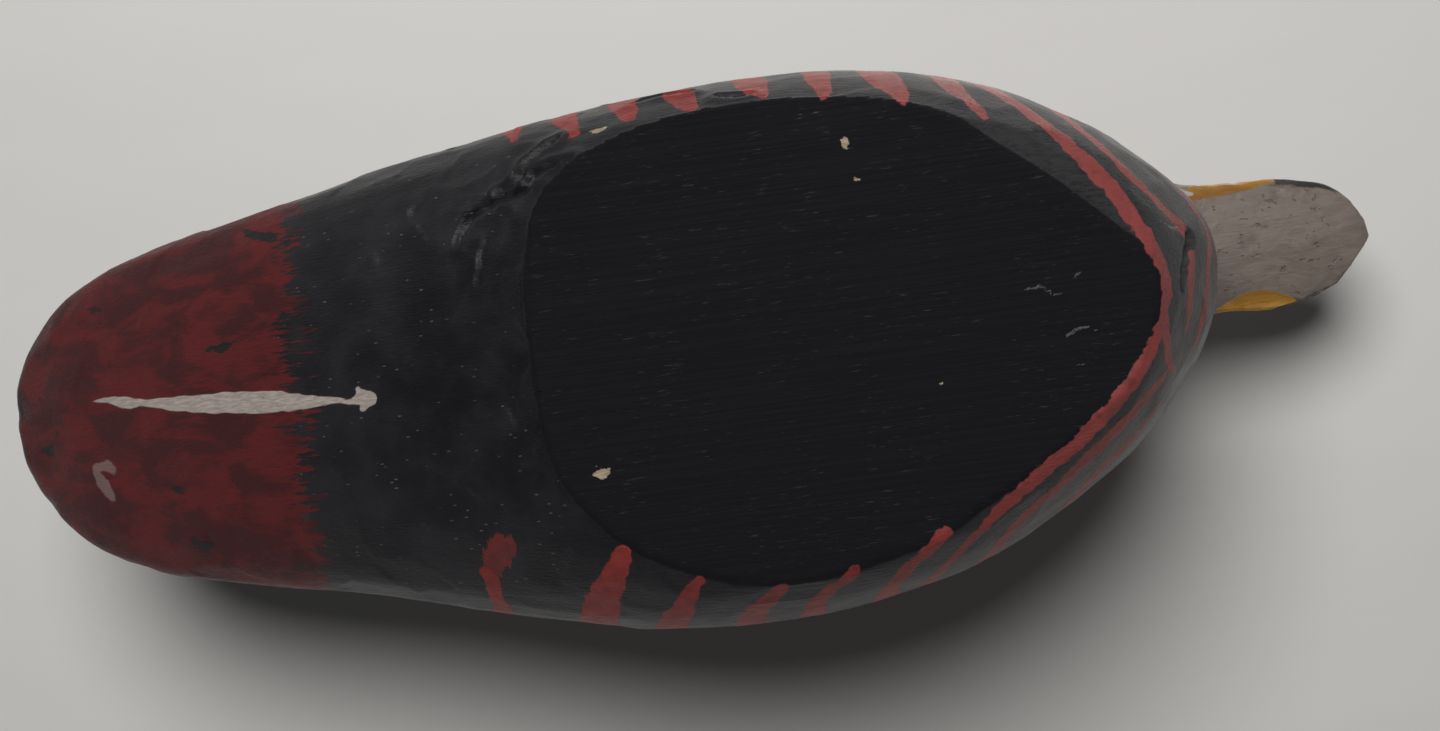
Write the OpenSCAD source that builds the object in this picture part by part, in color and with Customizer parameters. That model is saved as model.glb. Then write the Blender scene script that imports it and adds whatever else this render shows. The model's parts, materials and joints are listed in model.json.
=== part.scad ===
// Carved and painted wooden duck, standing on its flat underside.
// +X points along the bill, +Z is up, and the origin is on the table under the middle of the duck.

/* [Body] */
// Length of the body block, tail to breast, mm
body_l = 245; // [235:1:255]
// Greatest width of the body block, mm
body_w = 104; // [98:1:110]
// Height of the back above the table, mm
back_h = 77; // [75:0.5:78]
// How far the tail end lies behind the middle of the whole duck, mm
tail_back = 142.5; // [140:0.5:145]

/* [Head] */
// Distance of the neck peg ahead of the origin, mm
neck_x = 58.5; // [57:0.5:60]
// Sideways place of the neck peg, which the carver set off the middle, mm
neck_y = -5; // [-6:0.5:0]
// Height of the joint between the head block and the body, mm
seat_h = 76; // [76:0.5:78]
// Radius of the round seat that the head block turns on, mm
seat_r = 19; // [17:0.5:20]
// Length of the head and bill, mm
head_l = 101; // [97:1:105]
// Greatest width of the head, mm
head_w = 42; // [38:1:44]
// Width of the bill, mm
bill_w = 28; // [26:0.5:30]

/* [Neck peg] */
// Radius of the peg, mm
peg_r = 5; // [4:0.5:6]
// Length of the peg, mm
peg_l = 48; // [40:1:52]
// Length of the peg that is glued into the head block, mm
peg_in_head = 22; // [18:1:24]
// Radial running clearance of the peg in the body, mm
peg_clearance = 0.08; // [0.04:0.01:0.1]

/* [Eyes] */
// Radius of each glass eye, mm
eye_r = 4; // [3.5:0.1:4.5]
// Height of each eye above the table, mm
eye_h = 106; // [104:0.5:108]
// Distance of each eye ahead of the neck peg, mm
eye_ahead = 17; // [15:0.5:19]

/* [Hidden] */

ring_points = 40;      // points round each cross-section
steps = 4;             // rings from one station to the next
neck_h = 20;           // how far the neck reaches up into the head block
seat_gap = 0.2;        // paint line between the head block and its seat
glue_gap = 0.02;       // the peg's glue film in the head block
bore_end_gap = 1;      // room under the peg's foot
body_lean = 0.05;      // how far the hand-cut body leans over, per mm of height
seat_depth = 20;       // how far the seat reaches down into the body block
edge_break = 1;        // broken edge where the two blocks meet
round_fn = 96;

head_back = -17;                 // back of the head, from the neck peg
eye_bed = head_w / 2 - 2.6;      // the eye's back face, from the head's middle
dome_rise = 3;                   // how far the eye's dome stands off its back face
eye_play = 0.05;                 // room round the eye in its bed, and round its shank
socket_cut = 10;                 // how far the eye's bed is cut outwards, clear of the head
shank_r = 1;
shank_l = 7;
shank_end_gap = 0.5;             // room under the shank's end
bill_from = 60;                  // where the bill starts, from the back of the head
neck_waist = seat_r - 2.5;       // the neck's radius above its spread foot
neck_spread_h = 9;               // height of the foot's spread
neck_foot_h = 4;                 // height of the foot's steep part
overcut = 1;                     // how far a hole's cutter starts outside the surface

k_l = body_l / 245;
k_w = body_w / 104;
k_h = back_h / 77;
k_head = head_l / 101;
k_cheek = head_w / 42;
k_bill = bill_w / 28;

// Body stations from tail to breast: place from the tail end, half width, sideways drift,
// underside, widest level, top, fullness of the lower half, fullness of the upper half.
body_stations = [
    [  0,    6,   -4.2, 46.5, 48.2, 50.5, 2.0, 2.0],
    [  1.5, 11,   -4.0, 45,   48,   51.8, 2.2, 2.0],
    [  6.5, 19,   -3.6, 42,   47,   53.8, 2.4, 2.0],
    [ 16,   27,   -3.2, 37,   46,   56.5, 2.6, 2.0],
    [ 31,   33,   -3.0, 31,   44,   59,   2.8, 2.0],
    [ 51,   36.6, -3.0, 23.5, 41,   63,   2.9, 2.1],
    [ 77,   41,   -2.6, 14,   37,   68,   3.0, 2.1],
    [105,   46.6, -1.2,  5,   34,   73,   2.8, 2.2],
    [133,   50.8,  0,   -8,   32,   76.5, 2.6, 2.2],
    [159,   51.8, -0.2, -16,  31.5, 77,   2.4, 2.2],
    [185,   49,   -1.0, -17,  33,   75.5, 2.3, 2.1],
    [206,   41.8, -2.0, -13,  35,   72,   2.2, 2.1],
    [224,   31.3, -2.6, -6,   37,   65,   2.1, 2.1],
    [236,   20.4, -3.6,  10,  39,   57,   2.0, 2.0],
    [242.5, 11.2, -5.0, 23,   40,   50,   2.0, 2.0],
    [245,    2,   -6.0, 36,   41,   45,   2.0, 2.0]
];

// Head and bill stations from the back of the head to the bill's tip: place, half width,
// sideways drift, underside, widest level, top, fullness of each half.
head_stations = [
    [  0,    2,    0,   97,   99,   101,   2.0, 2.0],
    [  2,    9,    0,   91,   99,   108,   2.0, 2.0],
    [  8,   15.5,  0,   85,   99,   115,   2.0, 2.0],
    [ 17,   19.5,  0,   80,   98,   120.5, 2.1, 2.1],
    [ 28,   21,    0,   78,   97,   123,   2.2, 2.2],
    [ 38,   20.4,  0,   78,   95,   121.5, 2.2, 2.2],
    [ 47,   17.8,  0,   79,   92,   115.5, 2.3, 2.1],
    [ 53.5, 15.4, -0.6, 79.5, 89,   107.5, 2.5, 2.0],
    [ 59.5, 14.2, -1.4, 79.8, 87,   100.5, 2.7, 2.0],
    [ 67,   14,   -1.8, 80,   86,    96,   2.8, 2.0],
    [ 76,   14,   -1.4, 80.2, 85.5,  92.6, 2.9, 2.0],
    [ 85,   13.8, -0.8, 80.4, 85,    90.2, 2.9, 2.1],
    [ 93,   12,   -0.3, 80.8, 84.8,  89,   2.6, 2.1],
    [ 98,    8.2,  0,   81.4, 84.8,  88,   2.4, 2.0],
    [100.3,  4.6,  0.2, 82.4, 84.8,  87,   2.0, 2.0],
    [101,    1.2,  0.3, 83.8, 84.6,  85.6, 2.0, 2.0]
];

// Catmull-Rom point between four equally spaced rows.
function spline(a, b, c, d, t) =
    0.5 * (2 * b + (c - a) * t + (2 * a - 5 * b + 4 * c - d) * t * t
        + (3 * b - a - 3 * c + d) * t * t * t);

// The row at a place along the stations, counted in stations.
function station(rows, at) =
    let (last = len(rows) - 1, i = min(floor(at), last - 1), t = at - i,
         before = i > 0 ? rows[i - 1] : 2 * rows[0] - rows[1],
         after = i + 2 <= last ? rows[i + 2] : 2 * rows[last] - rows[last - 1])
    spline(before, rows[i], rows[i + 1], after, t);

function rounded(v, fullness) = sign(v) * pow(abs(v), 2 / fullness);

// One closed cross-section, a superellipse with its own upper and lower half, leaning a little.
function section(r, lean) =
    [for (k = [0 : ring_points - 1])
        let (a = 360 * k / ring_points, c = cos(a), s = sin(a),
             full = s > 0 ? r[7] : r[6],
             rise = s > 0 ? r[5] - r[4] : r[4] - r[3])
        [r[0], r[2] + r[1] * rounded(c, full) + lean * rise * rounded(s, full),
            r[4] + rise * rounded(s, full)]];

// A closed solid through the cross-sections.
module loft(rings) {
    n = len(rings[0]);
    last = len(rings) - 1;
    points = [for (ring = rings) each ring];
    sides = [for (i = [0 : last - 1], k = [0 : n - 1])
        let (a = i * n + k, b = i * n + (k + 1) % n)
        each [[a, b + n, b], [a, a + n, b + n]]];
    polyhedron(points, concat(
        [[for (k = [0 : n - 1]) k]], sides, [[for (k = [n - 1 : -1 : 0]) last * n + k]]));
}

function rings_of(rows, along, across, up, lean) =
    [for (i = [0 : steps * (len(rows) - 1)])
        let (r = station(rows, i / steps))
        [for (p = section(r, lean)) [p[0] * along, p[1] * across, p[2] * up]]];

module at_neck(h = 0) {
    translate([neck_x, neck_y, h]) children();
}

module body_block() {
    translate([-tail_back, 0, 0]) loft(rings_of(body_stations, k_l, k_w, k_h, body_lean));
}

// The low round seat that the head block stands on, with a broken edge.
module neck_seat() {
    at_neck() rotate_extrude($fn = round_fn)
        polygon([[0, seat_h - seat_depth], [0, seat_h], [seat_r - edge_break, seat_h],
            [seat_r, seat_h - edge_break], [seat_r, seat_h - seat_depth]]);
}

module body() {
    foot_room = 40;     // more than the loft reaches below the table
    color([0.09, 0.09, 0.10]) difference() {
        union() {
            body_block();
            neck_seat();
        }
        translate([-tail_back, -body_w, -foot_room]) cube([body_l, 2 * body_w, foot_room]);
        at_neck(seat_h - peg_l + peg_in_head - bore_end_gap)
            cylinder(h = peg_l, r = peg_r + peg_clearance, $fn = round_fn);
    }
}

module head_block() {
    translate([neck_x + head_back, neck_y, 0])
        loft([for (ring = rings_of(head_stations, k_head, 1, 1, 0))
            [for (p = ring) [p[0], p[1] * (p[0] > bill_from * k_head ? k_bill : k_cheek), p[2]]]]);
}

// The short neck, which spreads a little where it meets its seat.
module neck() {
    at_neck() rotate_extrude($fn = round_fn)
        polygon([[0, seat_h + seat_gap], [seat_r - edge_break, seat_h + seat_gap],
            [seat_r, seat_h + seat_gap + edge_break], [seat_r - edge_break, seat_h + neck_foot_h],
            [neck_waist, seat_h + neck_spread_h], [neck_waist, seat_h + neck_h], [0, seat_h + neck_h]]);
}

// Room for one glass eye: a shallow round bed and a hole for its shank.
module eye_socket(side) {
    translate([neck_x + eye_ahead, neck_y + side * eye_bed, eye_h])
        rotate([-90 * side, 0, 0]) {
            cylinder(h = socket_cut, r = eye_r + eye_play, $fn = round_fn);
            translate([0, 0, -shank_l - shank_end_gap])
                cylinder(h = shank_l + socket_cut, r = shank_r + eye_play, $fn = round_fn / 2);
        }
}

module head() {
    color([0.42, 0.39, 0.37]) difference() {
        union() {
            head_block();
            neck();
        }
        at_neck(seat_h - overcut)
            cylinder(h = peg_in_head + overcut + bore_end_gap, r = peg_r + glue_gap, $fn = round_fn);
        for (side = [-1, 1]) eye_socket(side);
    }
}

module neck_peg() {
    chamfer = 0.8;
    color([0.74, 0.60, 0.42]) at_neck(seat_h + peg_in_head - peg_l)
        rotate_extrude($fn = round_fn)
            polygon([[0, 0], [peg_r - chamfer, 0], [peg_r, chamfer], [peg_r, peg_l - chamfer],
                [peg_r - chamfer, peg_l], [0, peg_l]]);
}

// A glass eye: a low dome on a short shank.
module eye(side) {
    dome = (eye_r * eye_r + dome_rise * dome_rise) / (2 * dome_rise);
    edge = asin((dome - dome_rise) / dome);
    color([0.55, 0.20, 0.05]) translate([neck_x + eye_ahead, neck_y + side * eye_bed, eye_h])
        rotate([-90 * side, 0, 0]) rotate_extrude($fn = round_fn)
            polygon(concat([[0, -shank_l], [shank_r, -shank_l], [shank_r, 0]],
                [for (a = [edge : (90 - edge) / 12 : 90.001])
                    [dome * cos(min(a, 90)), dome_rise - dome + dome * sin(min(a, 90))]]));
}

body();
head();
neck_peg();
eye(1);  // eye_left
eye(-1);  // eye_right
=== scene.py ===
"""Looks of the carved and painted wooden duck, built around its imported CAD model.

Lengths are in millimetres in the part's own frame (+X to the bill, +Y to the duck's left, +Z up),
and become metres only where they reach Blender.
"""

import json
import math

import bpy
import numpy as np
from mathutils import Matrix, Vector
from mathutils.kdtree import KDTree


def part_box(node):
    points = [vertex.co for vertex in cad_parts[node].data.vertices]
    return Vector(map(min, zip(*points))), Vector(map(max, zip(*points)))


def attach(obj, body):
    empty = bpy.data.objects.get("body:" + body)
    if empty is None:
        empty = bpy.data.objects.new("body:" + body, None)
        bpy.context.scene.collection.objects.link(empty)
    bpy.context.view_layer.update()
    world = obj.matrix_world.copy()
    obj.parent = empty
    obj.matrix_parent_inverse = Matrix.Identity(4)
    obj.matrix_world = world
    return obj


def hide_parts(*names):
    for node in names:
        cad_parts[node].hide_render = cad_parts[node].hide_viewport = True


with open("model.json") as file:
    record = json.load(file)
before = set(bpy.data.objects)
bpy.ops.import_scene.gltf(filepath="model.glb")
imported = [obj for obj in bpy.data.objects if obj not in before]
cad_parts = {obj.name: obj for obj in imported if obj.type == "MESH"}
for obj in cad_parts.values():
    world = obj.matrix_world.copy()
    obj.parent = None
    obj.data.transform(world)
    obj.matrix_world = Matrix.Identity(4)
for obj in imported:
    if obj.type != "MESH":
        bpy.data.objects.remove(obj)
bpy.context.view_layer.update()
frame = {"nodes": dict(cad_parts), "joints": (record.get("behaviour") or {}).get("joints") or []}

MM = 0.001
NECK = np.array(frame["joints"][0]["pos_m"]) / MM     # where the neck's axis crosses its seat
FAR = 9.0                   # a field of distance is minus this where nothing is near, in mm
BODY_VOXEL = 0.8            # how fine the carved meshes are, in mm
HEAD_VOXEL = 0.5


# ---------------------------------------------------------------- smooth noise and simple maths

LATTICE_SIDE = 32
LATTICE = np.random.default_rng(11).uniform(-1, 1, (LATTICE_SIDE,) * 3)


def smoothstep(value, low, high):
    t = np.clip((value - low) / (high - low), 0, 1)
    return t * t * (3 - 2 * t)


def noise(points, size, seed=0):
    """Smooth noise from -1 to 1 whose features are about that size, in mm: a number or three."""
    place = points / size + 5.7 * seed
    cell = np.floor(place).astype(int)
    t = place - cell
    t = t * t * (3 - 2 * t)
    total = np.zeros(len(points))
    for corner in np.ndindex(2, 2, 2):
        weight = np.prod(np.where(corner, t, 1 - t), axis=1)
        i, j, k = ((cell + corner) % LATTICE_SIDE).T
        total += weight * LATTICE[i, j, k]
    return total


def bell(points, centre, radius):
    """1 at the centre and 0 from about twice the radius, which is a number or three."""
    away = (points - np.array(centre)) / radius
    return np.exp(-(away ** 2).sum(axis=1))


def smooth_line(marks, pieces=5):
    """Points along a Catmull-Rom curve through the marks."""
    marks = np.array(marks, float)
    ends = np.vstack([2 * marks[0] - marks[1], marks, 2 * marks[-1] - marks[-2]])
    line = []
    for a, b, c, d in zip(ends, ends[1:], ends[2:], ends[3:]):
        for t in np.arange(pieces) / pieces:
            line.append(0.5 * (2 * b + (c - a) * t + (2 * a - 5 * b + 4 * c - d) * t ** 2
                               + (3 * b - a - 3 * c + d) * t ** 3))
    line.append(marks[-1])
    return np.array(line)


def inside_outline(flat_points, corners):
    """Signed distance in mm to a closed outline in a plane, positive inside it."""
    closed = smooth_line(np.vstack([corners, corners[:1]]), 4)
    best = np.full(len(flat_points), 1e9)
    inside = np.zeros(len(flat_points), bool)
    for start, end in zip(closed, closed[1:]):
        along = end - start
        away = flat_points - start
        t = np.clip(away @ along / (along @ along + 1e-12), 0, 1)
        best = np.minimum(best, np.linalg.norm(away - t[:, None] * along, axis=1))
        crosses = (start[1] > flat_points[:, 1]) != (end[1] > flat_points[:, 1])
        rise = along[1] if abs(along[1]) > 1e-9 else 1e-9
        inside ^= crosses & (away[:, 0] < along[0] * away[:, 1] / rise)
    return np.where(inside, best, -best)


# ---------------------------------------------------------------- meshes

class Carving:
    """A fine mesh copied from a CAD node, whose points are carved and then written back."""

    def __init__(self, name, node, voxel):
        source = frame["nodes"][node].copy()
        source.data = source.data.copy()
        bpy.context.scene.collection.objects.link(source)
        remesh = source.modifiers.new("remesh", "REMESH")
        remesh.mode = "VOXEL"
        remesh.voxel_size = voxel * MM
        remesh.use_smooth_shade = True
        bpy.context.view_layer.update()
        graph = bpy.context.evaluated_depsgraph_get()
        self.mesh = bpy.data.meshes.new_from_object(source.evaluated_get(graph))
        self.mesh.name = name
        self.mesh.materials.clear()
        bpy.data.objects.remove(source)
        self.name = name
        count = len(self.mesh.vertices)
        flat = np.zeros(count * 3)
        self.mesh.vertices.foreach_get("co", flat)
        self.points = flat.reshape(-1, 3) / MM
        pairs = np.zeros(len(self.mesh.edges) * 2, int)
        self.mesh.edges.foreach_get("vertices", pairs)
        self.edges = pairs.reshape(-1, 2)
        self.valence = np.bincount(self.edges.ravel(), minlength=count)[:, None]

    def normals(self):
        self.mesh.vertices.foreach_set("co", (self.points * MM).ravel())
        self.mesh.update()
        flat = np.zeros(len(self.points) * 3)
        self.mesh.vertex_normals.foreach_get("vector", flat)
        return flat.reshape(-1, 3)

    def averaged(self, values):
        """Each point's value averaged over its neighbours."""
        a, b = self.edges.T
        columns = [np.bincount(a, v[b], len(values)) + np.bincount(b, v[a], len(values))
                   for v in values.T]
        return np.array(columns).T / self.valence

    def relax(self, rounds):
        """Smooths the mesh without shrinking it."""
        for _ in range(rounds):
            self.points += 0.5 * (self.averaged(self.points) - self.points)
            self.points -= 0.52 * (self.averaged(self.points) - self.points)

    def soften(self, share, rounds):
        """Plain smoothing, by its own share at each point."""
        for _ in range(rounds):
            self.points += share[:, None] * (self.averaged(self.points) - self.points)

    def push(self, amount):
        """Moves every point along its normal, by its own amount in mm."""
        self.points += amount[:, None] * self.normals()

    def tree(self):
        tree = KDTree(len(self.points))
        for i, p in enumerate(self.points):
            tree.insert(p, i)
        tree.balance()
        return tree

    def cut_facets(self, count, depth, seed, keep):
        """Flat knife cuts: each point sinks part of the way to the flat of its nearest cut."""
        normals = self.normals()
        picks = np.random.default_rng(seed).choice(len(self.points), count, replace=False)
        tree = KDTree(count)
        for i, p in enumerate(self.points[picks]):
            tree.insert(p, i)
        tree.balance()
        cut = picks[[tree.find(p)[1] for p in self.points]]
        height = ((self.points - self.points[cut]) * normals[cut]).sum(axis=1)
        self.push(-np.clip(height + depth, 0, 2 * depth) * keep)

    def stroke(self, marks, tree):
        """Signed distance in mm to a stroke along (x, y, z, half width) marks near the surface."""
        line = smooth_line(marks)
        middle = np.array([np.mean([found[0] for found in tree.find_n(p[:3], 7)], axis=0) for p in line])
        width = line[:, 3]
        reach = width.max() + 8
        low, high = middle.min(axis=0) - reach, middle.max(axis=0) + reach
        near = ((self.points > low) & (self.points < high)).all(axis=1)
        points = self.points[near]
        best = np.full(len(points), -FAR)
        for i in range(len(line) - 1):
            along = middle[i + 1] - middle[i]
            t = np.clip((points - middle[i]) @ along / (along @ along + 1e-9), 0, 1)
            away = np.linalg.norm(points - middle[i] - t[:, None] * along, axis=1)
            best = np.maximum(best, width[i] + t * (width[i + 1] - width[i]) - away)
        field = np.full(len(self.points), -FAR)
        field[near] = best
        return field

    def strokes(self, many, tree):
        return np.max([self.stroke(marks, tree) for marks in many], axis=0)

    def keep_field(self, name, values):
        """Stores one number for each point, which the material reads."""
        attribute = self.mesh.attributes.new(name, "FLOAT", "POINT")
        attribute.data.foreach_set("value", values.astype(np.float32))

    def finish(self, material, body, nodes, slot):
        self.mesh.vertices.foreach_set("co", (self.points * MM).ravel())
        self.mesh.polygons.foreach_set("use_smooth", np.ones(len(self.mesh.polygons), bool))
        self.mesh.update()
        self.mesh.materials.append(material)
        piece = bpy.data.objects.new(self.name, self.mesh)
        bpy.context.scene.collection.objects.link(piece)
        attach(piece, body)
        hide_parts(*nodes)
        return piece


# ---------------------------------------------------------------- the body block

# The sanded flat that the duck stands on, seen from above.
FLAT = [(-25, -8), (-23.5, -25), (-18, -36.5), (-4, -43.5), (11, -45.5), (29, -45), (43, -42.5),
        (53, -38.5), (62, -31), (72, -22.5), (80, -14.5), (86, -8), (85, 2), (81, 11),
        (75, 16.5), (65.5, 23), (54, 29.5), (43, 35), (31.5, 38), (20.5, 40), (10, 39.5),
        (-0.5, 36.5), (-11, 31), (-17.5, 24.5), (-22.5, 16.5), (-25, 6)]

# Lower ends of the red flank bars: the tip, and where the bar is already wide.
RIGHT_BARS = [[(-25, -46, 13.5, 0.7), (-26, -48, 19, 1.7)],
              [(-12.5, -45, 7, 1.1), (-15, -48.5, 15, 2.4)],
              [(-2, -46, 5.5, 1.1), (-3.5, -48.5, 10.5, 2.2)],
              [(9.5, -46, 3.5, 1.1), (7, -49, 9, 2.6)],
              [(22.5, -46.5, 3.5, 0.9), (20.5, -49, 8.5, 2.7)],
              [(33, -44.5, 1, 0.9), (32.5, -48, 8, 2)],
              [(47, -41.5, 1, 1.1), (44, -46.5, 9, 3.4)],
              [(60.5, -37.5, 2.5, 0.9), (56, -44, 11.5, 2.6)]]
LEFT_BARS = [[(-41.5, 33.5, 12.5, 1.7), (-41.5, 39.5, 17.5, 1.5)],
             [(-14, 31.5, 0, 1.6), (-21.5, 43, 12, 3.6)],
             [(-1.5, 38.5, 0, 1.1), (-8, 46.5, 12.5, 2.9)],
             [(13.5, 41.5, 1, 1.4), (7, 47, 10, 2.5)],
             [(27, 40, 0, 1.2), (19, 46, 8, 1.8)],
             [(43.5, 35, 0, 1.4), (33.5, 43.5, 7, 1.8)]]
FADED_BAR = [(-36, 27, 8, 1.5), (-38, 29, 9, 3), (-41, 33, 12, 2)]

# Long red stripes round the breast, from the right flank to the left one.
BREAST_STRIPES = [
    [(52, -38, 56, 0.8), (56, -45, 42, 2.8), (60, -45, 26, 2.8), (65, -41, 14, 2.1), (70, -35.5, 8, 1.8),
     (75, -30, 4, 1.7), (84, -16, 0.5, 1.6), (87.5, -7, 1.5, 1.8), (88, -3, 2, 1.7),
     (86, 3, 1.5, 1.4), (81, 11, 0.5, 1.5), (73.5, 18.5, 0.5, 1.7), (61, 28, 0.5, 1.6),
     (52, 34, 2, 1.2), (43, 42, 9, 1.2), (40, 45.5, 18, 1.7), (37, 48, 32, 2.4), (35, 44, 52, 0.8)],
    [(87, 3, 2, 1.2), (87.5, 9, 5, 1.1), (88.5, 13, 11, 0.6)],
    [(64, -33, 58, 0.7), (67, -40, 42, 2.2), (72, -38, 26, 2.1), (77.5, -33, 13, 1.5),
     (84, -25, 7.5, 1.4), (90, -17, 9.5, 1.5), (94, -12, 12.5, 1.6)],
    [(94.5, -8.5, 12.5, 0.9), (93, -2, 10, 1.5), (92, 5, 11, 1)],
    [(86.5, 13, 7.5, 0.9), (82, 17, 5.5, 1.7), (73, 24, 4.5, 2.0), (65.5, 30, 6, 1.9),
     (57.5, 36, 8, 1.8), (51, 41.5, 18, 1.8), (48, 44, 34, 2.2), (46, 40, 52, 0.7)],
    [(74, -30, 60, 0.7), (80, -34, 45, 1.9), (89, -26, 31, 1.6), (97, -17, 23.5, 1.1),
     (99.5, -11, 23.5, 1.2), (98, -5, 18.5, 1.3), (96.5, 2, 17.5, 1.2), (93, 9, 18, 0.6)],
    [(85.5, 19, 13.5, 1.1), (78, 26, 14, 2.0), (73.5, 29, 14, 2.0), (66, 36, 24, 2.1),
     (62, 39, 38, 2), (60, 35, 54, 0.7)],
    [(84, -24, 57, 0.7), (92, -22, 44, 1.6), (99, -14, 36, 1.4), (101, -6, 33, 1.3),
     (99, 4, 32, 1.3), (94, 14, 32, 1.5), (86, 24, 36, 1.7), (79, 29, 48, 0.8)]]

# The white stroke under the tail, and the small blob at its end.
TAIL_STREAK = [(-121, -8.5, 35, 0.15), (-117, -8.2, 34, 0.6), (-113, -7.3, 32, 1.2),
               (-108.5, -6.8, 30.5, 0.7), (-101, -5.8, 28, 1.4), (-90, -4.8, 24, 2),
               (-80, -4, 20, 2.1), (-74, -3.3, 17.5, 1.5), (-67, -2.8, 15, 0.7), (-63, -2.2, 14, 0.5),
               (-60.5, -2.4, 13, 1.2), (-58.5, -2.2, 12.5, 1.3)]
TAIL_BLOB = [(-60.8, -4.2, 13.2, 0.6), (-59.6, -2.2, 12.8, 1.1), (-60.6, -0.3, 13.2, 0.5)]

TAIL_PAINT_END = -74        # where the red under the tail stops
TAIL_RIM = 2.2              # the black rim left round the tail
SEAT_RADIUS = 17.5          # the bare disc under the neck
FILLET_START = 19.3         # how far from the neck's axis the fillet begins
FILLET_END = 33
PLACES = [-142, -126, -112, -92, -66, -38, 16, 42, 64, 82, 94, 102]     # along the body


def middle_line(x):
    """The body's middle, sideways, at each place along it."""
    return np.interp(x, PLACES, [-4.2, -3.2, -3, -3, -2.6, -1.2, -0.2, -1, -2, -2.6, -3.6, -6])


def widest_level(x):
    """The height at which the body is widest, at each place along it."""
    return np.interp(x, PLACES, [48, 46, 44, 41, 37, 34, 31.5, 33, 35, 37, 39, 41])


def wing_field(points):
    """Signed distance in mm into the folded wings, positive on them."""
    x, y, z = points.T
    middle = middle_line(x)
    side = np.abs(y - middle)
    lower = np.interp(x, [-100, -70, -30, 10, 40, 52], [60, 52.5, 48, 48, 53, 62])
    upper = np.interp(x, [-100, -70, -20, 30, 52], [4, 6, 11, 16, 24])
    front = 52 - 0.03 * (z - 60) ** 2 - x
    return np.minimum.reduce([(z - lower) * 0.9, side - upper, front, x + 103])


def feather_rows(points):
    """Scale-like feathers lapped from the front: mm inside the edge of the one on top."""
    x, y, z = points.T
    middle = middle_line(x)
    around = np.arctan2(np.abs(y - middle), np.maximum(z - 28, 1)) * 46 + 0.8 * noise(points, 16, 3)
    back = 60 - x + 0.8 * noise(points, 14, 4)
    long, wide, radius = 7.2, 10.5, 6.8
    depth = np.zeros(len(points))
    covered = np.zeros(len(points), bool)
    first = np.floor(back / long) - 1
    for k in range(4):
        row = first + k
        shift = 0.5 * (row % 2)
        column = np.round(around / wide - shift) + shift
        inside = radius - np.hypot(back - row * long, around - column * wide)
        shown = (inside > 0) & ~covered
        depth[shown] = inside[shown]
        covered |= shown
    return depth


def lift_round_flat(body):
    """Rounds the block up from the sanded flat's true outline to its flanks."""
    p = body.points
    outside = np.maximum(-inside_outline(p[:, :2], FLAT), 0)
    lift = 7 * (1 - np.exp(-outside * 0.075))
    soft = 0.5 * (p[:, 2] + lift + np.sqrt((p[:, 2] - lift) ** 2 + 2 * smoothstep(outside, 0, 4)))
    p[:, 2] = np.where(p[:, 2] < 16, soft, p[:, 2])
    body.points = p
    front = smoothstep(p[:, 0], -24, -14)
    body.soften(0.6 * smoothstep(outside, 0.5, 4) * smoothstep(20 - p[:, 2], 0, 6) * front, 45)


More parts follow.
